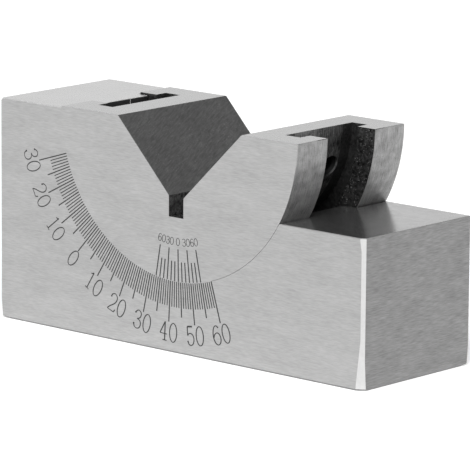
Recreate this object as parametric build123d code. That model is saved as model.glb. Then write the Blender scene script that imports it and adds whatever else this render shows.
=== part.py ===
from build123d import *
import os

# Adjustable V-block: a half-round block with a V groove tilts in the round seat of a stepped base.
# X runs along the base, Y across it from front to back, Z up. The origin is the middle of the underside.
# All lengths are in millimetres and all angles in degrees.

# Base
base_length = 75.0
base_width = 25.0
base_height = 35.4
step_height = 23.15
edge_break = 0.1
corner_chamfer = 0.5
bottom_chamfer = 0.3
top_chamfer = 0.12

# Flats ground by hand on the base's corners: their reach along its length, its width and its height.
# The front right edge has a long one at its foot and a short one at the step.
foot_flat_length = 1.4
foot_flat_width = 0.8
foot_flat_height = 12.0
step_flat_length = 0.85
step_flat_width = 0.5
step_flat_height = 5.0
small_flat_reach = 0.4
small_flat_height = 4.0
foot_nick_reach = 2.0
foot_nick_height = 0.35
top_nick_reach = 0.5

# Seat and tilting block. The tilt axis lies a little above the base's top.
axis_rise = 0.15
seat_radius = 24.3
seat_clearance = 0.05
block_rise = 0.1
block_edge_break = 0.08

# V groove, with its relief slot at the bottom. Both depths are below the tilt axis.
groove_angle = 90.0
groove_depth = 12.6
relief_width = 3.0
relief_depth = 14.3

# Curved T slot in the tilting block. The lips are what the block keeps outside the slot's head.
slot_lip_thickness = 3.45
slot_head_height = 3.0
slot_head_width = 15.6
slot_neck_width = 11.1

# Guide rib on the seat, which runs in the slot's neck
rib_height = 1.9
rib_side_clearance = 0.45

# Small blind hole in the slot's floor
pin_hole_diameter = 2.5
pin_hole_depth = 5.0
pin_hole_angle = -20.9
pin_hole_offset = 3.85
pin_hole_countersink = 0.6

# Clamp shoe in the slot
shoe_half_angle = 36.0
shoe_floor_gap = 0.7
shoe_lip_clearance = 0.05
shoe_side_clearance = 0.3
shoe_rib_gap = 0.2

# Socket head screws that pull the shoe down, and their holes in the base
screw_spacing = 12.0
screw_diameter = 5.0
screw_head_diameter = 8.5
screw_head_height = 5.0
screw_head_recess = 0.6
screw_tip_gap = 0.05
screw_head_chamfer = 0.4
screw_tip_chamfer = 0.5
screw_socket_flats = 4.0
screw_socket_depth = 2.5
screw_thread_clearance = 0.05
screw_hole_clearance = 0.3
counterbore_clearance = 0.35

# Engraved angle scale on the base and vernier on the block, both on the front. At rest the vernier's
# middle line points almost straight down from the tilt axis, which would be -90 degrees.
vernier_direction = -88.7
rest_reading = 43.9
scale_low_reading = -30
scale_high_reading = 60
scale_short_mark = 3.75
scale_middle_mark = 5.15
scale_long_mark = 6.2
vernier_step = 11.0 / 6.0
vernier_marks_each_side = 6
vernier_short_mark = 3.1
vernier_long_mark = 5.05
mark_width = 0.14
mark_depth = 0.12
mark_edge_land = 0.08

# Sizes that follow from the ones above
axis_height = base_height + axis_rise
block_radius = seat_radius - seat_clearance
slot_lip_radius = block_radius - slot_lip_thickness
slot_inner_radius = slot_lip_radius - slot_head_height
rib_inner_radius = seat_radius - rib_height
rib_width = slot_neck_width - 2 * rib_side_clearance
shoe_inner_radius = slot_inner_radius + shoe_floor_gap
shoe_lip_radius = slot_lip_radius - shoe_lip_clearance
shoe_outer_radius = rib_inner_radius - shoe_rib_gap
shoe_head_width = slot_head_width - 2 * shoe_side_clearance
shoe_stem_width = slot_neck_width - 2 * shoe_side_clearance
screw_shoulder_height = screw_head_recess + screw_head_height
screw_tip_height = axis_height - slot_inner_radius - screw_tip_gap
front = -base_width / 2

# How far cutting solids run past the faces that they cut, and how exactly a face is looked up
overrun = 1.0
lookup = 0.001


def disc(radius: float, depth: float, middle: float = 0.0) -> Part:
    """Solid cylinder about the tilt axis, with its middle at the given place across the block."""
    seam_on_top = Rot(90, 0, 0) * Rot(0, 0, 90)
    return Pos(0, middle, axis_height) * seam_on_top * Cylinder(radius, depth)


def ring(inner: float, outer: float, depth: float) -> Part:
    """Solid ring about the tilt axis, centred across the block."""
    return disc(outer, depth) - disc(inner, depth + overrun)


def upright(diameter: float, low: float, high: float, x: float) -> Part:
    """Upright round solid in the middle plane, between two heights."""
    return Pos(x, 0, (low + high) / 2) * Cylinder(diameter / 2, high - low)


def at_height(part: Part, height: float) -> ShapeList:
    """Edges of the level faces that lie at one height."""
    level = part.faces().filter_by(Axis.Z)
    return level.filter_by_position(Axis.Z, height - lookup, height + lookup).edges()


def radial_mark(angle: float, inner: float, outer: float) -> Part:
    """Cutter for one engraved line that points away from the tilt axis on the front face."""
    line = Pos((inner + outer) / 2, 0, 0) * Box(outer - inner, 2 * mark_depth, mark_width)
    return Pos(0, front, axis_height) * Rot(0, -angle, 0) * line


def scale_marks() -> list[Part]:
    """Degree lines below the seat, longer at every fifth and tenth degree."""
    marks = []
    start = seat_radius + mark_edge_land
    for reading in range(scale_low_reading, scale_high_reading + 1):
        size = scale_short_mark
        if reading % 5 == 0:
            size = scale_middle_mark
        if reading % 10 == 0:
            size = scale_long_mark
        angle = vernier_direction + reading - rest_reading
        marks.append(radial_mark(angle, start, seat_radius + size))
    return marks


def vernier_marks() -> list[Part]:
    """Vernier lines along the block's round edge, longer at the middle, the quarters and the ends."""
    marks = []
    end = block_radius - mark_edge_land
    for place in range(-vernier_marks_each_side, vernier_marks_each_side + 1):
        size = vernier_short_mark
        if place % 3 == 0:
            size = vernier_long_mark
        angle = vernier_direction + place * vernier_step
        marks.append(radial_mark(angle, block_radius - size, end))
    return marks


def screw_places() -> list[float]:
    """Places of the two screws along the base."""
    return [-screw_spacing / 2, screw_spacing / 2]


def corner_flat(x_side: int, y_side: int, height: float, reach: Vector) -> Part:
    """Cutter for a flat on a corner of the base. A reach with a negative height goes down from it."""
    corner = Vector(x_side * base_length / 2, y_side * base_width / 2, height)
    along = corner - Vector(x_side * reach.X, 0, 0)
    across = corner - Vector(0, y_side * reach.Y, 0)
    outward = Vector(x_side / reach.X, y_side / reach.Y, -1 / reach.Z)
    size = 2 * (reach.length + overrun)
    flat = Plane(origin=along, x_dir=across - along, z_dir=outward)
    return flat * Pos(0, 0, size / 2) * Box(size, size, size)


def ground_flats() -> list[Part]:
    """Cutters for all the flats ground by hand on the base's corners."""
    foot = Vector(foot_flat_length, foot_flat_width, foot_flat_height)
    step = Vector(step_flat_length, step_flat_width, -step_flat_height)
    small = Vector(small_flat_reach, small_flat_reach, small_flat_height)
    nick = Vector(foot_nick_reach, foot_nick_reach, foot_nick_height)
    top = Vector(top_nick_reach, top_nick_reach, -top_nick_reach)
    flats = [corner_flat(1, -1, 0, foot), corner_flat(1, -1, step_height, step)]
    for y_side in [-1, 1]:
        flats.append(corner_flat(-1, y_side, base_height, top))
        flats.append(corner_flat(-1, y_side, 0, small))
        flats.append(corner_flat(-1, y_side, 0, nick))
        flats.append(corner_flat(1, y_side, 0, nick))
    flats.append(corner_flat(1, 1, 0, small))
    return flats


def make_base_block() -> Part:
    """Stepped base with the round seat, its guide rib, the screw holes and the angle scale."""
    plan = Rectangle(base_length, base_width)
    plan = chamfer(plan.vertices().group_by(Axis.Y)[0].sort_by(Axis.X)[-1], corner_chamfer)
    base = extrude(plan, base_height)
    base = chamfer(at_height(base, 0), bottom_chamfer)
    base = chamfer(at_height(base, base_height), top_chamfer)
    upright_edges = base.edges().filter_by(Axis.Z).group_by(Axis.Y)
    front_left = upright_edges[0].sort_by(Axis.X)[0]
    base = chamfer([front_left, *upright_edges[-1]], edge_break)

    # The right half stands lower. The seat's cut takes away the upright wall of this step.
    above = base_height - step_height + overrun
    notch = Box(base_length / 2 + overrun, base_width + 2 * overrun, above)
    notch = Pos((base_length / 2 + overrun) / 2, 0, step_height + above / 2) * notch
    base -= notch
    edges = at_height(base, step_height)
    base = chamfer(edges.filter_by_position(Axis.X, overrun, base_length), top_chamfer)
    base -= ground_flats()

    # On either side of the rib the seat is cut to its full radius, and along the rib less deep.
    side = (base_width - rib_width) / 2 + overrun
    middle = (rib_width + side) / 2
    base -= [disc(seat_radius, side, middle), disc(seat_radius, side, -middle)]
    base -= disc(rib_inner_radius, rib_width + 2 * overrun)

    for x in screw_places():
        bore = screw_diameter + 2 * screw_hole_clearance
        head_bore = screw_head_diameter + 2 * counterbore_clearance
        base -= upright(bore, -overrun, axis_height, x)
        base -= upright(head_bore, -overrun, screw_shoulder_height, x)
    base -= scale_marks()
    base.label = "base_block"
    return base


def groove_cutter() -> Part:
    """V groove with one wall at the rest reading and the other square to it, and its relief slot."""
    reach = 2 * seat_radius
    bottom = axis_height - groove_depth
    right = Vector(reach, 0).rotate(Axis.Z, rest_reading)
    left = Vector(reach, 0).rotate(Axis.Z, rest_reading + groove_angle)
    outline = Polygon((0, bottom), (right.X, bottom + right.Y), (left.X, bottom + left.Y), align=None)
    groove = extrude(Plane.XZ * outline, base_width, both=True)
    slot = Box(relief_width, 2 * base_width, relief_depth)
    return groove + Pos(0, 0, axis_height - relief_depth / 2) * slot


def make_tilting_v_block() -> Part:
    """Half-round block with the V groove, the curved T slot, the small hole and the vernier."""
    block_top = axis_height + block_rise
    block = disc(block_radius, base_width)
    block -= Pos(0, 0, block_top + block_radius / 2) * Box(
        3 * block_radius, 2 * base_width, block_radius
    )
    block = chamfer(at_height(block, block_top), block_edge_break)
    block -= groove_cutter()
    block -= ring(slot_inner_radius, slot_lip_radius, slot_head_width)
    block -= ring(slot_inner_radius, block_radius + overrun, slot_neck_width)

    # The small hole points at the tilt axis and has a light countersink at the slot's floor.
    turn = Pos(0, pin_hole_offset, axis_height) * Rot(0, -pin_hole_angle, 0)
    pin_radius = pin_hole_diameter / 2
    wide_radius = pin_radius + pin_hole_countersink
    middle = slot_inner_radius + (overrun - pin_hole_depth) / 2
    block -= turn * Pos(middle, 0, 0) * Rot(0, 90, 0) * Cylinder(pin_radius, pin_hole_depth + overrun)
    middle = slot_inner_radius - pin_hole_countersink / 2
    cone = Cone(pin_radius, wide_radius, pin_hole_countersink)
    block -= turn * Pos(middle, 0, 0) * Rot(0, 90, 0) * cone
    block -= vernier_marks()
    block.label = "tilting_v_block"
    return block


def make_clamp_shoe() -> Part:
    """Curved T-shaped shoe that rides in the T slot and takes the two screws."""
    head = ring(shoe_inner_radius, shoe_lip_radius, shoe_head_width)
    stem = ring(shoe_inner_radius, shoe_outer_radius, shoe_stem_width)
    reach = Vector(0, -2 * seat_radius)
    right = reach.rotate(Axis.Z, shoe_half_angle)
    left = reach.rotate(Axis.Z, -shoe_half_angle)
    wedge = Polygon((0, 0), (left.X, left.Y), (right.X, right.Y), align=None)
    wedge = Pos(0, 0, axis_height) * extrude(Plane.XZ * wedge, base_width, both=True)
    shoe = (head + stem) & wedge
    for x in screw_places():
        bore = screw_diameter + 2 * screw_thread_clearance
        shoe -= upright(bore, 0, axis_height, x)
    shoe.label = "clamp_shoe"
    return shoe


def make_clamp_screw(x: float) -> Part:
    """Socket head screw with its head in the base's underside and its tip in the shoe."""
    shoulder = screw_shoulder_height
    head = upright(screw_head_diameter, screw_head_recess, shoulder, x)
    head = chamfer(head.edges().sort_by(Axis.Z)[0], screw_head_chamfer)
    shank = upright(screw_diameter, shoulder - overrun, screw_tip_height, x)
    shank = chamfer(shank.edges().sort_by(Axis.Z)[-1], screw_tip_chamfer)
    flats = RegularPolygon(screw_socket_flats / 2, 6, major_radius=False)
    socket = Pos(x, 0, screw_head_recess - overrun) * extrude(flats, screw_socket_depth + overrun)
    return head + shank - socket


def main() -> None:
    """Builds each piece and writes it to its own file."""
    left, right = screw_places()
    pieces = {
        "base_block": make_base_block(),
        "tilting_v_block": make_tilting_v_block(),
        "clamp_shoe": make_clamp_shoe(),
        "clamp_screw_left": make_clamp_screw(left),
        "clamp_screw_right": make_clamp_screw(right),
    }
    os.makedirs("parts", exist_ok=True)
    for name, piece in pieces.items():
        export_step(piece, f"parts/{name}.step")


if __name__ == "__main__":
    main()
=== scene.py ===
"""Looks of an adjustable V-block: ground steel, filled scale lines and numbers, studio and camera."""

import logging
import math
from dataclasses import dataclass, field
from enum import Enum

import bpy
import numpy as np
from mathutils import Matrix, Vector


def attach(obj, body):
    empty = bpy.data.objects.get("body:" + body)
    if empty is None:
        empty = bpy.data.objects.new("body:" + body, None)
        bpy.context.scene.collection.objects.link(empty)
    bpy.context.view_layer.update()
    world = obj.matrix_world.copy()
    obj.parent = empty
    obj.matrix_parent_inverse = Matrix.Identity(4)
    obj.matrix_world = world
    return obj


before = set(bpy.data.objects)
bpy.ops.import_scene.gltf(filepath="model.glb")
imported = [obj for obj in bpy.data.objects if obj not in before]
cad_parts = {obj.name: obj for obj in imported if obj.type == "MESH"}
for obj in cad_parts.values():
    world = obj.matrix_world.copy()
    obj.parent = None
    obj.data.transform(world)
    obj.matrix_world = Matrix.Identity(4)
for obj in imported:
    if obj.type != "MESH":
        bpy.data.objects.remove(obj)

LOG = logging.getLogger("v_block")
MM = 0.001
# Unit of the room that a mask leaves past the surface that it has to cover.
HAIR = 0.01 * MM
# Least part of a normal along an axis, for a face that is square to that axis.
SQUARE = 0.99
Socket = bpy.types.NodeSocket
Pair = tuple[float, float]
Triple = tuple[float, float, float]


class Place(Enum):
    """Bodies that the pieces of this scene ride on."""

    BASE = "base"
    BLOCK = "v_block"


@dataclass(frozen=True)
class Sizes:
    """Sizes of the solids, in metres and degrees, that the dressing has to follow."""

    axis_height: float = 35.55 * MM
    front: float = -12.5 * MM
    base_top: float = 35.4 * MM
    step_top: float = 23.15 * MM
    seat_radius: float = 24.3 * MM
    block_radius: float = 24.25 * MM
    block_top: float = 35.65 * MM
    slot_floor: float = 17.8 * MM
    slot_half_width: float = 7.8 * MM
    neck_half_width: float = 5.55 * MM
    relief_depth: float = 14.3 * MM
    relief_half_width: float = 1.5 * MM
    hole_direction: float = -20.9
    hole_offset: float = 3.85 * MM
    hole_rim: float = 1.85 * MM
    screw_offset: float = 6.0 * MM
    screw_bore: float = 4.6 * MM
    vernier_direction: float = -88.7
    rest_reading: float = 43.9
    mark_depth: float = 0.12 * MM
    edge_land: float = 0.015 * MM
    face_margin: float = 0.15 * MM


SIZES = Sizes()


class Sheet:
    """Shader node tree of one material, with short calls for the nodes that the finishes share."""

    def __init__(self, name: str) -> None:
        """Starts an empty material with a surface shader.

        Args:
            name: Name of the material.
        """
        self.material = bpy.data.materials.new(name)
        self.material.use_nodes = True
        self.tree = self.material.node_tree
        self.tree.nodes.clear()
        output = self.add("OutputMaterial")
        self.shader = self.add("BsdfPrincipled")
        self.tree.links.new(self.shader.outputs["BSDF"], output.inputs["Surface"])
        coordinates = self.add("TexCoord")
        self.x, self.y, self.z = self.split(coordinates.outputs["Object"])
        self.nx, self.ny, self.nz = self.split(coordinates.outputs["Normal"])

    def feed(self, target: Socket, value: "Socket | float | tuple[float, ...]") -> None:
        """Links a socket to an input, or sets the input to a constant.

        Args:
            target: Input socket.
            value: Socket to link, or constant.
        """
        if isinstance(value, bpy.types.NodeSocket):
            self.tree.links.new(value, target)
        else:
            target.default_value = value

    def add(self, kind: str, *values: "Socket | float") -> bpy.types.Node:
        """Adds one node and feeds its first inputs.

        Args:
            kind: Last part of the node type's name.
            *values: Sockets or constants for the inputs, in order.

        Returns:
            The new node.
        """
        node = self.tree.nodes.new("ShaderNode" + kind)
        for target, value in zip(node.inputs, values):
            self.feed(target, value)
        return node

    def split(self, vector: Socket) -> tuple[Socket, ...]:
        """Splits a vector into its x, y and z parts."""
        return tuple(self.add("SeparateXYZ", vector).outputs)

    def join(self, x: "Socket | float", y: "Socket | float", z: "Socket | float") -> Socket:
        """Joins three numbers into a vector."""
        return self.add("CombineXYZ", x, y, z).outputs[0]

    def math(self, operation: str, *values: "Socket | float") -> Socket:
        """Adds one maths node.

        Args:
            operation: Name of the operation.
            *values: Its operands.

        Returns:
            The result's socket.
        """
        node = self.add("Math")
        node.operation = operation
        for target, value in zip(node.inputs, values):
            self.feed(target, value)
        return node.outputs[0]

    def between(self, value: Socket, low: float, high: float) -> Socket:
        """One where a value lies between two limits, and zero elsewhere."""
        return self.math("MULTIPLY", self.over(value, low), self.under(value, high))

    def near(self, value: Socket, middle: float, reach: float) -> Socket:
        """One where a value is nearer to a middle than a reach, and zero elsewhere."""
        return self.between(value, middle - reach, middle + reach)

    def over(self, value: Socket, limit: float) -> Socket:
        """One where a value is greater than a limit."""
        return self.math("GREATER_THAN", value, limit)

    def under(self, value: Socket, limit: float) -> Socket:
        """One where a value is less than a limit."""
        return self.math("LESS_THAN", value, limit)

    def span(self, first: Socket, second: Socket) -> Socket:
        """Root of the sum of two squares."""
        squares = [self.math("MULTIPLY", part, part) for part in (first, second)]
        return self.math("SQRT", self.math("ADD", *squares))

    def about_middle(self, value: Socket) -> Socket:
        """Noise shifted so that it is zero on average."""
        return self.math("SUBTRACT", value, 0.5)

    def either(self, first: Socket, *others: Socket) -> Socket:
        """Greatest of several masks.

        Args:
            first: First mask.
            *others: The other masks.

        Returns:
            The mask that is one where any of them is.
        """
        for other in others:
            first = self.math("MAXIMUM", first, other)
        return first

    def both(self, first: Socket, *others: Socket) -> Socket:
        """Product of several masks.

        Args:
            first: First mask.
            *others: The other masks.

        Returns:
            The mask that is one where all of them are.
        """
        for other in others:
            first = self.math("MULTIPLY", first, other)
        return first

    def ramp(self, value: Socket, limits: Pair, results: Pair) -> Socket:
        """Maps the range between two limits linearly to two results, and holds it at the ends."""
        return self.add("MapRange", value, *limits, *results).outputs[0]

    def mix(self, share: "Socket | float", first: "Socket | float", second: "Socket | float") -> Socket:
        """Mixes two numbers.

        Args:
            share: Share of the second number.
            first: Number at share zero.
            second: Number at share one.

        Returns:
            The mixed number's socket.
        """
        node = self.add("Mix")
        node.data_type = "FLOAT"
        for target, value in zip(node.inputs[0:1] + node.inputs[2:4], (share, first, second)):
            self.feed(target, value)
        return node.outputs[0]

    def noise(self, vector: Socket, detail: float, rough: float = 0.5) -> Socket:
        """Fractal noise of unit scale.

        Args:
            vector: Place where it is read, already scaled.
            detail: Number of octaves.
            rough: Share that each finer octave keeps.

        Returns:
            The noise's socket, about one half on average.
        """
        node = self.add("TexNoise")
        settings = {"Vector": vector, "Scale": 1.0, "Detail": detail, "Roughness": rough}
        for name, value in settings.items():
            self.feed(node.inputs[name], value)
        return node.outputs[0]

    def streaks(self, lengths: Triple, detail: float, shift: float = 0.0) -> Socket:
        """Noise whose spots are as long along X, Y and Z as the given lengths in millimetres.

        Args:
            lengths: Length of a spot along each axis.
            detail: Number of octaves.
            shift: Shift of the pattern, in spots.

        Returns:
            The noise's socket.
        """
        parts = zip((self.x, self.y, self.z), lengths)
        scaled = [self.math("DIVIDE", part, size * MM) for part, size in parts]
        scaled[0] = self.math("ADD", scaled[0], shift)
        return self.noise(self.join(*scaled), detail)

    def tint(self, value: Socket, warmth: float = 0.0) -> Socket:
        """Grey colour of one brightness, with red raised and blue lowered by the warmth's share."""
        red, blue = (self.math("MULTIPLY", value, 1.0 + share) for share in (warmth, -warmth))
        return self.add("CombineColor", red, value, blue).outputs[0]

    def clear_from_behind(self) -> None:
        """Makes the back of the surface clear, so that what stands on it can be looked at from below."""
        output = self.tree.nodes["Material Output"]
        side, clear = self.add("NewGeometry"), self.add("BsdfTransparent")
        sources = (side.outputs["Backfacing"], self.shader.outputs["BSDF"], clear.outputs[0])
        choice = self.add("MixShader", *sources)
        self.tree.links.new(choice.outputs[0], output.inputs["Surface"])

    def bump(self, height: Socket, distance: float) -> None:
        """Gives the shader a normal from a height.

        Args:
            height: Height, from zero to one.
            distance: Height in metres that one stands for.
        """
        node = self.add("Bump")
        node.inputs["Distance"].default_value = distance
        self.tree.links.new(height, node.inputs["Height"])
        self.tree.links.new(node.outputs[0], self.shader.inputs["Normal"])


class Lay(Enum):
    """Ways in which tool marks lie on a steel surface."""

    ALONG = "straight lines along X"
    ACROSS = "uneven lines along Y"
    AROUND = "lines along the block's round face"
    SLANTED = "lines at an angle to the groove"
    SPECKLED = "spots without a direction"


@dataclass(frozen=True)
class Surface:
    """How one kind of surface answers light.

    Specks are added to the tone at fine dots, and mottling is the share of broad soft patches.
    """

    tone: float
    roughness: float
    contrast: float
    lay: Lay
    specks: float = 0.0
    metal: float = 1.0
    mottle: float = 0.0


Regions = tuple[tuple[Socket, Surface], ...]
GROUND_FACE = Surface(0.40, 0.34, 0.28, Lay.ALONG)
CUT_LINE = Surface(0.06, 0.60, 0.10, Lay.SPECKLED)


@dataclass(frozen=True)
class Marks:
    """Tool marks and spots on steel.

    A triple holds spot lengths along X, Y and Z in millimetres. Lengths given with MM are in metres,
    dot_range is the noise at which a dot starts and is full, and the other values are shares.
    """

    along: Triple = (1.3, 0.3, 0.12)
    across: Triple = (0.3, 1.8, 0.16)
    speckled: Triple = (0.45, 0.45, 0.45)
    broad: Triple = (7.0, 5.0, 1.6)
    patch: Triple = (1.4, 1.4, 1.4)
    dot: Triple = (0.22, 0.22, 0.22)
    around_length: float = 2.2 * MM
    around_width: float = 0.16 * MM
    slant: float = 0.47
    slanted_length: float = 2.0 * MM
    slanted_width: float = 0.3 * MM
    broad_share: float = 0.4
    dot_range: Pair = (0.64, 0.72)
    dust_share: float = 1.5
    rough_share: float = 0.1
    warmth: float = 0.002
    depth: float = 0.004 * MM


MARKS = Marks()


class SteelSheet(Sheet):
    """Material of a steel piece whose surfaces differ, with masks and tool marks in its own place."""

    def __init__(self, name: str) -> None:
        """Starts the material and works out the places that the masks share.

        Args:
            name: Name of the material.
        """
        super().__init__(name)
        self.rise = self.math("SUBTRACT", self.z, SIZES.axis_height)
        self.radius = self.span(self.x, self.rise)
        self.steep = [self.math("ABSOLUTE", part) for part in (self.nx, self.ny, self.nz)]
        self.level = self.over(self.steep[2], SQUARE)
        self.inside = self.near(self.y, 0.0, -SIZES.front - SIZES.face_margin)
        mark_floor = SIZES.front + SIZES.mark_depth
        self.behind = self.between(self.y, SIZES.front + HAIR / 2, mark_floor + 2 * HAIR)
        self.lays = {
            Lay.ALONG: self.streaks(MARKS.along, detail=5.0, shift=1.0),
            Lay.ACROSS: self.streaks(MARKS.across, detail=5.0, shift=3.0),
            Lay.AROUND: self.around(),
            Lay.SLANTED: self.slanted(),
            Lay.SPECKLED: self.streaks(MARKS.speckled, detail=5.0, shift=11.0),
        }

    def around(self) -> Socket:
        """Fine lines that follow a circle about the tilt axis.

        Returns:
            Noise over the way along the circle and over Y.
        """
        turn = self.math("ARCTAN2", self.rise, self.x)
        way = self.math("MULTIPLY", turn, SIZES.block_radius)
        along = self.math("DIVIDE", way, MARKS.around_length)
        aside = self.math("DIVIDE", self.y, MARKS.around_width)
        return self.noise(self.join(along, aside, 0.0), detail=4.0, rough=0.6)

    def slanted(self) -> Socket:
        """Fine lines that cross the groove's walls at an angle.

        Returns:
            Noise over the wall's own two directions, Y and down the slope, turned by the slant.
        """
        out = self.math("ADD", self.math("ABSOLUTE", self.x), self.z)
        down = self.math("MULTIPLY", out, -math.sqrt(0.5))
        over = self.math("ADD", self.math("MULTIPLY", self.y, MARKS.slant), down)
        past = self.math("SUBTRACT", self.y, self.math("MULTIPLY", down, MARKS.slant))
        over = self.math("DIVIDE", over, MARKS.slanted_width)
        past = self.math("DIVIDE", past, MARKS.slanted_length)
        return self.noise(self.join(over, past, 0.0), detail=3.0)

    def dress(self, face: Surface, regions: Regions) -> bpy.types.Material:
        """Lays the regions over the plain face, each with its tone, roughness and tool marks.

        The tone is the surface's own, times one plus its marks and patches, plus its specks. The noise of
        both is doubled, because it runs about half a unit to either side of zero.

        Args:
            face: Surface wherever no region lies.
            regions: Mask and surface of each region. A later one covers an earlier one.

        Returns:
            The finished material.
        """
        grain = self.lays[face.lay]
        kinds = ("tone", "roughness", "contrast", "specks", "metal", "mottle")
        values = {kind: getattr(face, kind) for kind in kinds}
        for mask, surface in regions:
            grain = self.mix(mask, grain, self.lays[surface.lay])
            for kind in kinds:
                values[kind] = self.mix(mask, values[kind], getattr(surface, kind))
        broad = self.about_middle(self.streaks(MARKS.broad, detail=3.0, shift=7.0))
        patches = self.about_middle(self.streaks(MARKS.patch, detail=5.0, shift=23.0))
        broad = self.math("MULTIPLY", broad, MARKS.broad_share)
        marks = self.math("ADD", self.about_middle(grain), broad)
        marks = self.math("MULTIPLY", marks, self.math("MULTIPLY", values["contrast"], 2.0))
        patches = self.math("MULTIPLY", patches, self.math("MULTIPLY", values["mottle"], 2.0))
        change = self.math("ADD", self.math("ADD", marks, patches), 1.0)
        dots = self.ramp(self.streaks(MARKS.dot, detail=1.0, shift=17.0), MARKS.dot_range, (0.0, 1.0))
        tone = self.math("MULTIPLY", values["tone"], change)
        tone = self.math("ADD", tone, self.math("MULTIPLY", dots, values["specks"]))
        rough = self.math("MULTIPLY", self.about_middle(grain), MARKS.rough_share)
        dust = self.math("MULTIPLY", self.math("ABSOLUTE", values["specks"]), MARKS.dust_share)
        metal = self.math("SUBTRACT", values["metal"], self.math("MULTIPLY", dots, dust))
        self.feed(self.shader.inputs["Base Color"], self.tint(tone, MARKS.warmth))
        self.feed(self.shader.inputs["Roughness"], self.math("ADD", values["roughness"], rough))
        self.feed(self.shader.inputs["Metallic"], metal)
        self.bump(grain, MARKS.depth)
        return self.material


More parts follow.
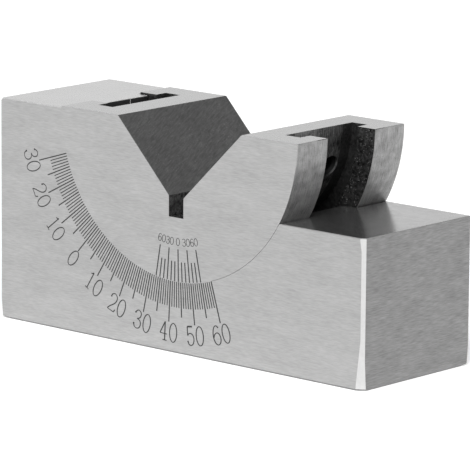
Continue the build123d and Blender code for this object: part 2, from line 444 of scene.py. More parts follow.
@dataclass(frozen=True)
class GroundSteelBase:
    """Finish of the base: ground faces, a top lightened with painted light, a lapped step and an end
    darkened with painted shade, chamfers with painted highlights and painted shade, and a seat darkened
    with painted shade.
    """

    face: Surface = GROUND_FACE
    # Lighter tone than the front: painted light on the top; its smoother grind is its own.
    top: Surface = Surface(0.50, 0.26, 0.26, Lay.ALONG)
    # Darker tone: painted shade on the step beside the block; its specks and mottling are its own marks.
    step: Surface = Surface(0.243, 0.20, 0.30, Lay.ALONG, specks=0.13, metal=0.86, mottle=0.3)
    # Darker tone: painted shade on the end faces; the uneven lines across them are their grind.
    end: Surface = Surface(0.236, 0.36, 0.54, Lay.ACROSS, mottle=0.05)
    # Chamfer tones: the lighter flat is a painted highlight, brighter still by the top edge, and darkened
    # with painted shade by the step, low down and at the left.
    flat: Surface = Surface(0.62, 0.30, 0.08, Lay.SPECKLED)
    edge: Surface = Surface(0.75, 0.60, 0.08, Lay.SPECKLED)
    brink: Surface = Surface(0.46, 0.60, 0.08, Lay.SPECKLED)
    shadow: Surface = Surface(0.03, 0.60, 0.10, Lay.SPECKLED)
    dull: Surface = Surface(0.26, 0.50, 0.20, Lay.SPECKLED)
    # Dark tone: painted shade on the seat, down in the gap under the block; the lines around it are its
    # finish.
    seat: Surface = Surface(0.08, 0.50, 0.40, Lay.AROUND)
    # Bright tone: painted highlight along the top of the rib's end, with a painted glint across it.
    lip: Surface = Surface(0.90, 0.80, 0.05, Lay.SPECKLED)
    bore: Surface = Surface(0.30, 0.50, 0.20, Lay.SPECKLED)
    groove: Surface = CUT_LINE
    slope_limit: float = 0.985
    chamfer_depth: float = 0.13 * MM
    foot_height: float = 0.31 * MM
    left_edge: float = -37.3 * MM
    left_edge_top: float = 34.8 * MM
    shadow_width: float = 0.22 * MM
    rib_depth: float = 1.0 * MM
    lip_depth: float = 0.1 * MM
    glint_place: float = 1.2 * MM
    glint_half_width: float = 0.05 * MM
    glint_depth: float = 0.9 * MM
    scale_reach: float = 6.3 * MM
    scale_top: float = 29.5 * MM
    scale_right: float = 10.5 * MM

    def chamfers(self, sheet: SteelSheet) -> Regions:
        """Regions of the sloped edges and flats, which carry painted highlights and painted shade, and of
        the painted line of shade where the block meets the step.

        Args:
            sheet: The base's sheet.

        Returns:
            Mask and surface of each region.
        """
        squarest = sheet.either(*sheet.steep)
        outside = sheet.over(sheet.radius, SIZES.seat_radius + 2 * HAIR)
        chamfer = sheet.both(outside, sheet.under(squarest, self.slope_limit))
        near_top = sheet.between(sheet.z, SIZES.base_top - self.chamfer_depth, SIZES.base_top + HAIR)
        near_step = sheet.between(sheet.z, SIZES.step_top - self.chamfer_depth, SIZES.step_top + HAIR)
        left = sheet.both(sheet.under(sheet.x, self.left_edge), sheet.under(sheet.z, self.left_edge_top))
        # Chamfers low down and at the left get painted shade.
        low_or_left = sheet.either(sheet.under(sheet.z, self.foot_height), left)
        beside_block = sheet.both(
            near_step,
            sheet.level,
            sheet.under(sheet.radius, SIZES.seat_radius + self.shadow_width),
            sheet.over(sheet.y, SIZES.neck_half_width),
        )
        return (
            (chamfer, self.flat),
            (sheet.both(chamfer, near_top), self.edge),
            (sheet.both(chamfer, near_step), self.brink),
            (beside_block, self.shadow),
            (sheet.both(chamfer, low_or_left), self.dull),
        )

    def hollows(self, sheet: SteelSheet) -> Regions:
        """Regions of the seat, darkened with painted shade, the painted highlight and glint on the end of
        its rib, the screws' bores and the engraved lines.

        Args:
            sheet: The base's sheet.

        Returns:
            Mask and surface of each region.
        """
        in_seat = sheet.under(sheet.radius, SIZES.seat_radius + 2 * HAIR)
        sloped = sheet.math("SUBTRACT", 1.0, sheet.level)
        # Painted glint: a thin upright bright strip across the end of the rib.
        glint = sheet.both(
            sheet.near(sheet.y, self.glint_place, self.glint_half_width),
            sheet.over(sheet.z, SIZES.base_top - self.glint_depth),
        )
        rib_highlight = sheet.both(
            in_seat,
            sloped,
            sheet.under(sheet.x, 0.0),
            sheet.either(sheet.over(sheet.z, SIZES.base_top - self.lip_depth), glint),
            sheet.under(sheet.radius, SIZES.seat_radius - self.rib_depth),
        )
        aside = sheet.math("SUBTRACT", sheet.math("ABSOLUTE", sheet.x), SIZES.screw_offset)
        in_bore = sheet.under(sheet.span(aside, sheet.y), SIZES.screw_bore + 2 * HAIR)
        scale_start, scale_end = SIZES.seat_radius + 4 * HAIR, SIZES.seat_radius + self.scale_reach
        marked = sheet.both(
            sheet.between(sheet.radius, scale_start, scale_end),
            sheet.under(sheet.z, self.scale_top),
            sheet.under(sheet.x, self.scale_right),
        )
        return (
            (sheet.both(sheet.inside, in_seat, sloped), self.seat),
            (rib_highlight, self.lip),
            (sheet.both(sheet.over(sheet.z, HAIR), in_bore), self.bore),
            (sheet.both(sheet.behind, marked), self.groove),
        )

    def material(self) -> bpy.types.Material:
        """Builds the node tree.

        Returns:
            The finished material.
        """
        sheet = SteelSheet("ground_steel_base")
        on_step = sheet.both(sheet.level, sheet.near(sheet.z, SIZES.step_top, 5 * HAIR))
        # Face tones: painted light on the top, painted shade on the step and the end.
        faces = (
            (sheet.level, self.top),
            (on_step, self.step),
            (sheet.over(sheet.steep[0], SQUARE), self.end),
        )
        return sheet.dress(self.face, faces + self.chamfers(sheet) + self.hollows(sheet))


@dataclass(frozen=True)
class GroundSteelBlock:
    """Finish of the tilting block: ground faces, groove walls darkened with a painted reflection, a slot,
    recesses and hole darkened with painted shade, a turned round face.
    """

    face: Surface = GROUND_FACE
    top: Surface = Surface(0.395, 0.26, 0.16, Lay.ALONG)
    edge: Surface = Surface(0.60, 0.60, 0.05, Lay.SPECKLED)
    round: Surface = Surface(0.303, 0.52, 0.75, Lay.AROUND, specks=-0.12, metal=0.92, mottle=0.45)
    # Darker tone: painted dark reflection on the groove's walls; the slanted lines are their grind.
    wall: Surface = Surface(0.28, 0.40, 0.42, Lay.SLANTED, specks=0.10, mottle=0.1)
    # Dark tones of the relief slot, the curved slot, its floor and its recesses: painted shade; specks and
    # mottling are their own marks.
    relief: Surface = Surface(0.155, 0.60, 1.60, Lay.SPECKLED, specks=0.12)
    slot: Surface = Surface(0.07, 0.55, 1.80, Lay.SPECKLED, specks=0.22, mottle=0.4)
    floor: Surface = Surface(0.13, 0.55, 2.40, Lay.AROUND, specks=0.14, mottle=0.6)
    recess: Surface = Surface(0.065, 0.60, 0.90, Lay.SPECKLED, specks=0.03)
    # Dark tones: painted shade on the countersink's rim and in the small hole.
    rim: Surface = Surface(0.07, 0.45, 0.30, Lay.SPECKLED)
    hole: Surface = Surface(0.02, 0.60, 0.30, Lay.SPECKLED)
    groove: Surface = CUT_LINE
    edge_depth: float = 0.085 * MM
    edge_slope: float = 0.3
    edge_slope_limit: float = 0.98
    round_edge: float = 0.1 * MM
    wall_margin: float = 0.3 * MM
    relief_top: float = 24.6 * MM
    slot_head: float = 3.0 * MM
    hole_start: float = 12.7 * MM
    rim_width: float = 0.22 * MM
    rim_depth: float = 0.62 * MM
    scale_start: float = 18.7 * MM
    scale_top: float = 18.0 * MM

    def outer(self, sheet: SteelSheet, body: Socket) -> Regions:
        """Regions of the top and its edges, the round face, the groove's walls, darkened with a painted
        reflection, and the relief slot, darkened with painted shade.

        Args:
            sheet: The block's sheet.
            body: Mask of all but the front, the back and the top.

        Returns:
            Mask and surface of each region.
        """
        turned = sheet.between(sheet.steep[1], self.edge_slope, self.edge_slope_limit)
        at_rim = sheet.either(turned, sheet.over(sheet.radius, SIZES.block_radius - self.round_edge))
        at_top = sheet.both(
            sheet.between(sheet.z, SIZES.block_top - self.edge_depth, SIZES.block_top + HAIR),
            sheet.over(sheet.nz, self.edge_slope),
        )
        in_groove = sheet.under(sheet.radius, SIZES.relief_depth + self.wall_margin)
        in_relief = sheet.near(sheet.x, 0.0, SIZES.relief_half_width + HAIR)
        return (
            (sheet.both(at_top, at_rim), self.edge),
            (sheet.level, self.top),
            (sheet.both(body, sheet.over(sheet.radius, SIZES.block_radius - 3 * HAIR)), self.round),
            (sheet.both(body, in_groove), self.wall),
            (sheet.both(body, in_relief, sheet.under(sheet.z, self.relief_top)), self.relief),
        )

    def curved_slot(self, sheet: SteelSheet, below_top: Socket) -> Regions:
        """Regions of the curved slot, darkened with painted shade: its walls, the floor in its neck and the
        recesses under its lips.

        Args:
            sheet: The block's sheet.
            below_top: Mask of all that lies under the top.

        Returns:
            Mask and surface of each region.
        """
        aside = sheet.math("ABSOLUTE", sheet.y)
        start, half_width = SIZES.slot_floor - 4 * HAIR, SIZES.slot_half_width + 2 * HAIR
        depth = sheet.between(sheet.radius, start, SIZES.block_radius - 3 * HAIR)
        on_floor = sheet.near(sheet.radius, SIZES.slot_floor, 4 * HAIR)
        beside_neck = sheet.between(aside, SIZES.neck_half_width + 2 * HAIR, half_width)
        in_head = sheet.between(sheet.radius, start, SIZES.slot_floor + self.slot_head + 4 * HAIR)
        return (
            (sheet.both(below_top, sheet.near(sheet.y, 0.0, half_width), depth), self.slot),
            (sheet.both(below_top, sheet.under(aside, SIZES.neck_half_width), on_floor), self.floor),
            (sheet.both(below_top, beside_neck, in_head), self.recess),
        )

    def small_hole(self, sheet: SteelSheet) -> Regions:
        """Regions of the small hole and the rim of its countersink, both darkened with painted shade.

        The distance from the hole's axis is the part of the place that is square to its direction.

        Args:
            sheet: The block's sheet.

        Returns:
            Mask and surface of each region.
        """
        out = math.radians(SIZES.hole_direction)
        rise = sheet.math("MULTIPLY", sheet.rise, math.cos(out))
        past = sheet.math("SUBTRACT", rise, sheet.math("MULTIPLY", sheet.x, math.sin(out)))
        distance = sheet.span(past, sheet.math("SUBTRACT", sheet.y, SIZES.hole_offset))
        near_hole = sheet.both(sheet.under(distance, SIZES.hole_rim + 2 * HAIR), sheet.over(sheet.x, 0.0))
        mouth = SIZES.slot_floor - 2 * HAIR
        in_hole = sheet.between(sheet.radius, self.hole_start, mouth)
        on_rim = sheet.both(
            sheet.over(distance, SIZES.hole_rim - self.rim_width),
            sheet.between(sheet.radius, SIZES.slot_floor - self.rim_depth, mouth),
        )
        return (
            (sheet.both(near_hole, in_hole), self.hole),
            (sheet.both(near_hole, on_rim), self.rim),
        )

    def material(self) -> bpy.types.Material:
        """Builds the node tree.

        Returns:
            The finished material.
        """
        sheet = SteelSheet("ground_steel_block")
        below_top = sheet.under(sheet.z, SIZES.block_top - HAIR)
        body = sheet.both(sheet.inside, below_top)
        relief_floor = sheet.both(
            body,
            sheet.under(sheet.z, SIZES.axis_height - SIZES.relief_depth + 5 * HAIR),
            sheet.under(sheet.radius, SIZES.relief_depth + self.wall_margin),
        )
        marked = sheet.both(
            sheet.between(sheet.radius, self.scale_start, SIZES.block_radius - 4 * HAIR),
            sheet.under(sheet.z, self.scale_top),
        )
        regions = self.outer(sheet, body) + self.curved_slot(sheet, below_top)
        # The relief slot's floor gets the slot's painted shade.
        regions += ((relief_floor, self.slot),)
        regions += self.small_hole(sheet)
        regions += ((sheet.both(sheet.behind, marked), self.groove),)
        return sheet.dress(self.face, regions)


@dataclass(frozen=True)
class PlainSteel:
    """Finish of one tone with fine spots, for the small steel pieces and the fill of the engraving."""

    name: str
    tone: float
    roughness: float
    metallic: float = 1.0
    spot: float = 0.3
    contrast: float = 0.5
    rough_share: float = 0.2

    def material(self) -> bpy.types.Material:
        """Builds the node tree.

        Returns:
            The finished material.
        """
        sheet = Sheet(self.name)
        spots = sheet.streaks((self.spot, self.spot, self.spot), detail=4.0)
        centred = sheet.about_middle(spots)
        change = sheet.math("ADD", sheet.math("MULTIPLY", centred, self.contrast), 1.0)
        rough = sheet.math("MULTIPLY", centred, self.rough_share)
        sheet.feed(sheet.shader.inputs["Base Color"], sheet.tint(sheet.math("MULTIPLY", self.tone, change)))
        sheet.feed(sheet.shader.inputs["Roughness"], sheet.math("ADD", self.roughness, rough))
        sheet.feed(sheet.shader.inputs["Metallic"], self.metallic)
        sheet.bump(spots, MARKS.depth)
        return sheet.material


INK = PlainSteel("engraving_fill", tone=0.02, roughness=0.6, metallic=0.0, spot=0.2)


@dataclass(frozen=True)
class Stroke:
    """One engraved stroke of a figure, through points in units of the figure's height.

    Its width goes from level_width to upright_width as it gets steeper, and ball is the radius of the dot
    at its first point, or at its last, in the same units.
    """

    points: tuple[Pair, ...]
    upright_width: float = 0.055
    level_width: float = 0.038
    ball: float = 0.0
    closed: bool = False
    ball_last: bool = False

    def path(self, steps: int = 10) -> np.ndarray:
        """Smooth curve through the points, each span a cubic with the slope of its neighbours' chord.

        Args:
            steps: Stations in each span.

        Returns:
            Stations as rows of two numbers.
        """
        knots = np.array(self.points, float)
        if len(knots) == 2:
            return knots
        if self.closed:
            padded = np.vstack([knots[-1], knots, knots[:2]])
        else:
            padded = np.vstack([2 * knots[0] - knots[1], knots, 2 * knots[-1] - knots[-2]])
        share = np.linspace(0, 1, steps, endpoint=False)[None, :, None]
        before, start, end, after = (padded[i : len(padded) - 3 + i][:, None, :] for i in range(4))
        slope_in, slope_out = (end - before) / 2, (after - start) / 2
        span = (
            (2 * share**3 - 3 * share**2 + 1) * start
            + (share**3 - 2 * share**2 + share) * slope_in
            + (3 * share**2 - 2 * share**3) * end
            + (share**3 - share**2) * slope_out
        )
        stations = span.reshape(-1, 2)
        return stations if self.closed else np.vstack([stations, knots[-1]])


def oval(half_width: float, count: int = 12) -> tuple[Pair, ...]:
    """Points on an upright oval of unit height.

    Args:
        half_width: Half of its width.
        count: Number of points.

    Returns:
        The points, anticlockwise.
    """
    angles = np.linspace(0, 2 * np.pi, count, endpoint=False)
    return tuple(zip(half_width * np.cos(angles), 0.5 * np.sin(angles)))


Figures = dict[str, tuple[Stroke, ...]]
ROMAN_FIGURES: Figures = {
    "0": (Stroke(oval(0.25), closed=True),),
    "1": (
        Stroke(((0.03, 0.5), (0.03, -0.49))),
        Stroke(((-0.12, 0.38), (-0.04, 0.42), (0.03, 0.5))),
        Stroke(((-0.12, -0.49), (0.17, -0.49))),
    ),
    "2": (
        Stroke(
            ((-0.2, 0.27), (-0.17, 0.4), (0.0, 0.5), (0.18, 0.4), (0.22, 0.2), (0.12, -0.03),
             (-0.1, -0.27), (-0.24, -0.48)),
            ball=0.045,
        ),
        Stroke(((-0.24, -0.48), (0.22, -0.48))),
        Stroke(((0.22, -0.48), (0.28, -0.31))),
    ),
    "3": (
        Stroke(
            ((-0.2, 0.33), (-0.12, 0.45), (0.02, 0.5), (0.17, 0.4), (0.18, 0.22), (0.09, 0.08),
             (-0.05, 0.03)),
            ball=0.05,
        ),
        Stroke(
            ((-0.23, -0.3), (-0.15, -0.45), (0.01, -0.5), (0.18, -0.42), (0.24, -0.22),
             (0.16, -0.04), (-0.05, 0.03)),
            ball=0.055,
        ),
    ),
    "4": (
        Stroke(((0.08, 0.5), (0.08, -0.49)), upright_width=0.065),
        Stroke(((0.08, 0.5), (-0.26, -0.15))),
        Stroke(((-0.26, -0.15), (0.22, -0.15))),
        Stroke(((-0.07, -0.49), (0.22, -0.49))),
    ),
    "5": (
        Stroke(((-0.17, 0.49), (0.17, 0.49)), level_width=0.07),
        Stroke(((-0.17, 0.49), (-0.19, 0.02))),
        Stroke(
            ((-0.19, 0.02), (-0.1, 0.11), (0.03, 0.13), (0.18, 0.03), (0.23, -0.18), (0.16, -0.4),
             (0.0, -0.5), (-0.13, -0.45), (-0.2, -0.3)),
            ball=0.05, ball_last=True,
        ),
    ),
    "6": (
        Stroke(
            ((0.17, 0.4), (0.06, 0.5), (-0.1, 0.43), (-0.22, 0.18), (-0.25, -0.12), (-0.17, -0.39),
             (0.0, -0.5), (0.17, -0.4), (0.24, -0.17), (0.17, 0.05), (0.03, 0.13), (-0.13, 0.06),
             (-0.24, -0.1)),
            ball=0.045,
        ),
    ),
}


PLAIN_FIGURES: Figures = {
    "0": (Stroke(oval(0.29), closed=True),),
    "3": (
        Stroke(
            ((-0.22, 0.36), (-0.1, 0.48), (0.07, 0.48), (0.2, 0.36), (0.19, 0.16), (0.05, 0.04),
             (-0.06, 0.03)),
        ),
        Stroke(
            ((-0.06, 0.03), (0.08, 0.02), (0.23, -0.1), (0.25, -0.28), (0.13, -0.46), (-0.05, -0.5),
             (-0.2, -0.42), (-0.26, -0.28)),
        ),
    ),
    "6": (
        Stroke(
            ((0.2, 0.36), (0.06, 0.49), (-0.12, 0.42), (-0.24, 0.18), (-0.26, -0.16),
             (-0.18, -0.41), (0.0, -0.5), (0.18, -0.41), (0.25, -0.2), (0.18, 0.02), (0.02, 0.09),
             (-0.14, 0.04), (-0.25, -0.12)),
        ),
    ),
}


# Place of the tilt axis, as X and Z.
AXIS = np.array([0.0, SIZES.axis_height])


def outward_from_axis(angle: float) -> np.ndarray:
    """Unit vector, as X and Z, of a direction in degrees from the tilt axis."""
    out = math.radians(angle)
    return np.array([math.cos(out), math.sin(out)])


@dataclass(frozen=True)
class Fill:
    """How far a fill stands out of the front face, and how far it reaches into it."""

    proud: float
    sunk: float


LINE_FILL = Fill(proud=0.005 * MM, sunk=0.1 * MM)
NUMBER_FILL = Fill(proud=0.008 * MM, sunk=0.03 * MM)
LIP_FILL = Fill(proud=-0.004 * MM, sunk=0.03 * MM)
# Radius of a dot's ring and width of its bar, as shares of the dot's radius.
RING_SHARE = 0.52
BAND_SHARE = 0.98


@dataclass(frozen=True)
class Lettering:
    """Figures of one scale, the height of a digit and the distance between neighbouring digits."""

    figures: Figures
    height: float
    pitch: float


@dataclass
class Engraving:
    """Filled strokes on the front face, gathered as thin closed bars and made into one mesh."""

    name: str
    body: Place
    fill: Fill
    slot: str = "black_steel"
    vertices: list[np.ndarray] = field(default_factory=list)
    faces: list[np.ndarray] = field(default_factory=list)
    count: int = 0

    def bar(self, path: np.ndarray, widths: np.ndarray, closed: bool) -> None:
        """Adds a thin bar along a path. Each station's corners lie half a width to either side of it.

        Args:
            path: Stations in metres on the front face, as X and Z.
            widths: Width at each station.
            closed: Whether the path ends where it starts.
        """
        size = len(path)
        if closed:
            ahead, back = np.roll(path, -1, axis=0), np.roll(path, 1, axis=0)
        else:
            ahead = np.vstack([path[1:], path[-1]])
            back = np.vstack([path[0], path[:-1]])
        heading = ahead - back
        heading /= np.linalg.norm(heading, axis=1, keepdims=True)
        side = np.column_stack([-heading[:, 1], heading[:, 0]]) * widths[:, None] / 2
        left, right = path + side, path - side
        corners = np.empty((size, 4, 3))
        corners[:, [0, 3], ::2] = left[:, None]
        corners[:, [1, 2], ::2] = right[:, None]
        corners[:, :2, 1] = SIZES.front - self.fill.proud
        corners[:, 2:, 1] = SIZES.front + self.fill.sunk
        station = np.arange(size if closed else size - 1)
        here, there = station[:, None] * 4, (station[:, None] + 1) % size * 4
        corner = np.arange(4)
        beside = (corner + 1) % 4
        quads = np.stack([here + corner, there + corner, there + beside, here + beside], axis=2)
        quads = quads.reshape(-1, 4)
        if not closed:
            last = (size - 1) * 4
            quads = np.vstack([quads, [[0, 1, 2, 3]], [[last + 3, last + 2, last + 1, last]]])
        self.vertices.append(corners.reshape(-1, 3))
        self.faces.append(quads + self.count)
        self.count += size * 4

    def dot(self, centre: np.ndarray, radius: float, sides: int = 16) -> None:
        """Adds a thin round bar, as a bar around a ring whose inner edge closes on its centre.

        Args:
            centre: Its middle on the front face.
            radius: Its radius.
            sides: Number of stations.
        """
        angles = np.linspace(0, 2 * np.pi, sides, endpoint=False)
        ring = centre + radius * RING_SHARE * np.column_stack([np.cos(angles), np.sin(angles)])
        self.bar(ring, np.full(sides, radius * BAND_SHARE), True)

    def figure(self, text: str, lettering: Lettering, angle: float, radius: float, weight: float) -> None:
        """Adds a number whose digits stand side by side on a circle, with their tops towards its centre.

        Args:
            text: Digits of the number.
            lettering: Look of the digits.
            angle: Direction of the number's middle from the tilt axis, in degrees.
            radius: Distance of the digits' middle from the tilt axis.
            weight: Factor on all stroke widths.
        """
        outward = outward_from_axis(angle)
        rightward = np.array([-outward[1], outward[0]])
        for place, digit in enumerate(text):
            shift = (place - (len(text) - 1) / 2) * lettering.pitch
            middle = AXIS + outward * radius + rightward * shift
            for stroke in lettering.figures[digit]:
                path = stroke.path()
                placed = middle + lettering.height * (path[:, :1] * rightward - path[:, 1:] * outward)
                run = np.gradient(path, axis=0)
                steep = np.abs(run[:, 1]) / np.linalg.norm(run, axis=1)
                widths = stroke.level_width + (stroke.upright_width - stroke.level_width) * steep
                self.bar(placed, widths * lettering.height * weight, stroke.closed)
                if stroke.ball:
                    self.dot(placed[-1 if stroke.ball_last else 0], stroke.ball * lettering.height)

    def line(self, angle: float, inner: float, outer: float, width: float) -> None:
        """Adds a straight line that points away from the tilt axis.

        Args:
            angle: Its direction in degrees.
            inner: Distance of its near end from the axis.
            outer: Distance of its far end from the axis.
            width: Its width.
        """
        outward = outward_from_axis(angle)
        path = np.vstack([AXIS + inner * outward, AXIS + outer * outward])
        self.bar(path, np.full(2, width), False)

    def build(self, material: bpy.types.Material) -> None:
        """Makes the object and sets it on its body.

        Args:
            material: Finish of the filled strokes.
        """
        mesh = bpy.data.meshes.new(self.name)
        mesh.from_pydata(np.vstack(self.vertices).tolist(), [], np.vstack(self.faces).tolist())
        mesh.update()
        piece = bpy.data.objects.new(self.name, mesh)
        bpy.context.scene.collection.objects.link(piece)
        mesh.materials.append(material)
        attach(piece, self.body.value)
        LOG.info("%s: %d faces", self.name, len(mesh.polygons))


@dataclass
class AngleScale:
    """Degree lines and numbers on the base. Each pair holds a value at the low and at the high reading.

    A line's outer end lies further out by a share of longer that grows evenly from none at reading 0 to
    all at full_reading and beyond. A number turns by number_bow times the difference of a third and the
    square of its place on the scale, which runs from -1 to 1. A third is the mean of such squares.
    """

    low: int = -30
    high: int = 60
    short: float = 3.75 * MM
    middle: float = 5.15 * MM
    long: float = 6.2 * MM
    number_radii: Pair = (31.95 * MM, 32.53 * MM)
    number_bow: float = 0.75
    longer: float = 0.3 * MM
    full_reading: float = 30.0
    line_widths: Pair = (0.157 * MM, 0.2 * MM)
    fifth_line_factor: float = 1.2
    weights: Pair = (1.12, 1.3)
    lettering: Lettering = Lettering(ROMAN_FIGURES, height=2.96 * MM, pitch=1.95 * MM)

    def direction(self, reading: float) -> float:
        """Direction of a reading from the tilt axis, in degrees."""
        return SIZES.vernier_direction + reading - SIZES.rest_reading

    def build(self, ink: bpy.types.Material) -> None:
        """Fills the engraved lines and adds the numbers.

        Args:
            ink: Finish of the filled strokes.
        """
        lines = Engraving("degree_lines", Place.BASE, LINE_FILL)
        numbers = Engraving("degree_numbers", Place.BASE, NUMBER_FILL)
        start = SIZES.seat_radius + SIZES.edge_land
        for reading in range(self.low, self.high + 1):
            share = (reading - self.low) / (self.high - self.low)
            width = np.interp(share, (0, 1), self.line_widths)
            size = self.short
            if reading % 5 == 0:
                width *= self.fifth_line_factor
                size = self.middle if reading % 10 else self.long
            size += self.longer * min(max(reading / self.full_reading, 0.0), 1.0)
            lines.line(self.direction(reading), start, SIZES.seat_radius + size, width)
            if reading % 10 == 0:
                angle = self.direction(reading) + self.number_bow * (1 / 3 - (2 * share - 1) ** 2)
                radius = np.interp(share, (0, 1), self.number_radii)
                weight = np.interp(share, (0, 1), self.weights)
                numbers.figure(str(abs(reading)), self.lettering, angle, radius, weight)
        lines.build(ink)
        numbers.build(ink)


@dataclass
class Vernier:
    """Vernier lines and small numbers on the tilting block."""

    step: float = 11.0 / 6.0
    each_side: int = 6
    numbered: int = 3
    short: float = 3.1 * MM
    long: float = 5.05 * MM
    number_radius: float = 18.05 * MM
    lettering: Lettering = Lettering(PLAIN_FIGURES, height=1.16 * MM, pitch=0.8 * MM)
    number_spread: float = 0.955
    weight: float = 1.8
    line_width: float = 0.225 * MM
    numbers: tuple[str, ...] = ("60", "30", "0", "30", "60")

    def build(self, ink: bpy.types.Material) -> None:
        """Fills the engraved lines and adds the numbers.

        Args:
            ink: Finish of the filled strokes.
        """
        lines = Engraving("vernier_lines", Place.BLOCK, LINE_FILL)
        numbers = Engraving("vernier_numbers", Place.BLOCK, NUMBER_FILL)
        end = SIZES.block_radius - SIZES.edge_land
        for place in range(-self.each_side, self.each_side + 1):
            turn = place * self.step
            size = self.short if place % self.numbered else self.long
            start = SIZES.block_radius - size
            lines.line(SIZES.vernier_direction + turn, start, end, self.line_width)
            if place % self.numbered == 0:
                text = self.numbers[(place + self.each_side) // self.numbered]
                angle = SIZES.vernier_direction + turn * self.number_spread
                numbers.figure(text, self.lettering, angle, self.number_radius, self.weight)
        lines.build(ink)
        numbers.build(ink)


@dataclass
class SeatLip:
    """Closed edge of the seat on the front, left of the scale's last line, where no gap shows."""

    start: float = -179.5
    end: float = -72.6
    width: float = 0.07 * MM
    stations: int = 240

    def build(self, steel: bpy.types.Material) -> None:
        """Adds a thin bar that follows a circle between the seat and the block.

        Args:
            steel: Finish of the base.
        """
        lip = Engraving("seat_lip", Place.BASE, LIP_FILL, slot="ground_steel")
        angles = np.radians(np.linspace(self.start, self.end, self.stations))
        radius = (SIZES.seat_radius + SIZES.block_radius) / 2
        path = np.column_stack([radius * np.cos(angles), SIZES.axis_height + radius * np.sin(angles)])
        lip.bar(path, np.full(self.stations, self.width), False)
        lip.build(steel)


@dataclass
class SteelPieces:
    """Finishes of the carried-over solids."""

    base: GroundSteelBase = field(default_factory=GroundSteelBase)
    block: GroundSteelBlock = field(default_factory=GroundSteelBlock)
    shoe: PlainSteel = PlainSteel("machined_steel", tone=0.25, roughness=0.45)
    screw: PlainSteel = PlainSteel("black_steel", tone=0.05, roughness=0.42, metallic=0.6)

    def dress(self) -> bpy.types.Material:
        """Puts a material on every solid.

        Returns:
            The base's material.
        """
        finishes = {
            "base_block": self.base.material(),
            "tilting_v_block": self.block.material(),
            "clamp_shoe": self.shoe.material(),
        }
        finishes["clamp_screw_left"] = finishes["clamp_screw_right"] = self.screw.material()
        for name, material in finishes.items():
            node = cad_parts[name]
            node.data.materials.clear()
            node.data.materials.append(material)
            LOG.info("%s: %s", name, material.name)
        return finishes["base_block"]


@dataclass(frozen=True)
class SoftLight:
    """A wide, far light that comes from one direction."""

    name: str
    direction: Triple
    spread: float
    strength: float

    def build(self) -> None:
        """Adds the light, aimed from its direction at the object."""
        light = bpy.data.lights.new(self.name, "SUN")
        light.angle = math.radians(self.spread)
        light.energy = self.strength
        lamp = bpy.data.objects.new(self.name, light)
        bpy.context.scene.collection.objects.link(lamp)
        turn = (-Vector(self.direction)).to_track_quat("-Z", "Y").to_matrix().to_4x4()
        lamp.matrix_world = Matrix.Translation(self.direction) @ turn


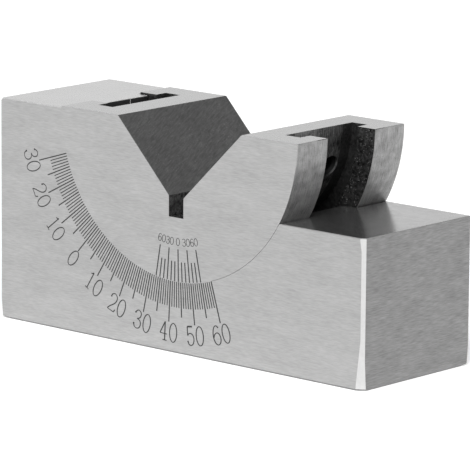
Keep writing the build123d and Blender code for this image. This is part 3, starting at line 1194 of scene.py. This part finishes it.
@dataclass
class Studio:
    """Pale lit floor, a soft light from the front, and a sky white near the horizon and dark above."""

    floor_half: float = 6.0
    floor_tone: float = 0.8
    floor_glow: float = 0.35
    floor_height: float = -0.01 * MM
    floor_roughness: float = 0.9
    spot: float = 40.0
    spot_range: Pair = (0.3, 0.7)
    spot_depth: float = 0.01
    horizon: float = 1.15
    overhead: float = 0.2
    horizon_end: float = 0.2
    overhead_start: float = 0.5
    key: SoftLight = SoftLight("key_light", (0.35, -0.6, 0.72), spread=40.0, strength=3.5)

    def floor(self) -> None:
        """Adds the floor as one flat quad a hair below the base, so that no two faces share a plane."""
        signs = ((-1, -1), (1, -1), (1, 1), (-1, 1))
        corners = [(x * self.floor_half, y * self.floor_half, self.floor_height) for x, y in signs]
        mesh = bpy.data.meshes.new("floor")
        mesh.from_pydata(corners, [], [(0, 1, 2, 3)])
        floor = bpy.data.objects.new("floor", mesh)
        bpy.context.scene.collection.objects.link(floor)
        sheet = Sheet("pale_floor")
        spots = sheet.streaks((self.spot, self.spot, self.spot), detail=2.0)
        tones = (self.floor_tone - self.spot_depth, self.floor_tone)
        settings = {
            "Base Color": sheet.tint(sheet.ramp(spots, self.spot_range, tones)),
            "Roughness": self.floor_roughness,
            "Specular IOR Level": 0.0,
            "Emission Color": (1.0, 1.0, 1.0, 1.0),
            "Emission Strength": self.floor_glow,
        }
        for name, value in settings.items():
            sheet.feed(sheet.shader.inputs[name], value)
        sheet.clear_from_behind()
        mesh.materials.append(sheet.material)

    def sky(self) -> None:
        """Gives the world a brightness that falls with the height above the horizon."""
        world = bpy.data.worlds.new("studio")
        bpy.context.scene.world = world
        world.use_nodes = True
        tree = world.node_tree
        coordinates = tree.nodes.new("ShaderNodeTexCoord")
        split = tree.nodes.new("ShaderNodeSeparateXYZ")
        tree.links.new(coordinates.outputs["Generated"], split.inputs[0])
        ramp = tree.nodes.new("ShaderNodeMapRange")
        ramp.interpolation_type = "SMOOTHSTEP"
        limits = (self.horizon_end, self.overhead_start, self.horizon, self.overhead)
        for name, value in zip(("From Min", "From Max", "To Min", "To Max"), limits):
            ramp.inputs[name].default_value = value
        tree.links.new(split.outputs[2], ramp.inputs["Value"])
        background = tree.nodes["Background"]
        background.inputs["Color"].default_value = (1.0, 1.0, 1.0, 1.0)
        tree.links.new(ramp.outputs[0], background.inputs["Strength"])

    def build(self) -> None:
        """Adds the floor, the surrounding and the light."""
        self.floor()
        self.sky()
        self.key.build()
        view = bpy.context.scene.view_settings
        view.view_transform = "Standard"
        view.look = "None"


@dataclass
class ProductCamera:
    """Long lens at the photograph's viewing angle."""

    azimuth: float = 41.582
    elevation: float = 11.406
    roll: float = 0.454
    distance: float = 681.544 * MM
    target: Triple = (0.963 * MM, 0.0, 16.856 * MM)
    focal_widths: float = 9.36972
    sensor: float = 36.0
    clip: Pair = (0.01, 50.0)

    def build(self) -> None:
        """Adds the camera and makes it the scene's own."""
        around, up = math.radians(self.azimuth), math.radians(self.elevation)
        away = Vector((math.sin(around) * math.cos(up), -math.cos(around) * math.cos(up), math.sin(up)))
        across = Vector((0, 0, 1)).cross(away).normalized()
        above = away.cross(across)
        roll = Matrix.Rotation(math.radians(self.roll), 4, "Z")
        turn = Matrix((across, above, away)).transposed().to_4x4() @ roll
        data = bpy.data.cameras.new("product_camera")
        data.sensor_fit = "HORIZONTAL"
        data.sensor_width = self.sensor
        data.lens = self.focal_widths * self.sensor
        data.clip_start, data.clip_end = self.clip
        camera = bpy.data.objects.new("product_camera", data)
        bpy.context.scene.collection.objects.link(camera)
        camera.matrix_world = Matrix.Translation(Vector(self.target) + away * self.distance) @ turn
        bpy.context.scene.camera = camera


def main() -> None:
    """Dresses the solids and adds the seat's lip, the scales, the studio and the camera."""
    logging.basicConfig(level=logging.INFO)
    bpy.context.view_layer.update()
    steel = SteelPieces().dress()
    SeatLip().build(steel)
    ink = INK.material()
    AngleScale().build(ink)
    Vernier().build(ink)
    Studio().build()
    ProductCamera().build()


if __name__ == "__main__":
    main()
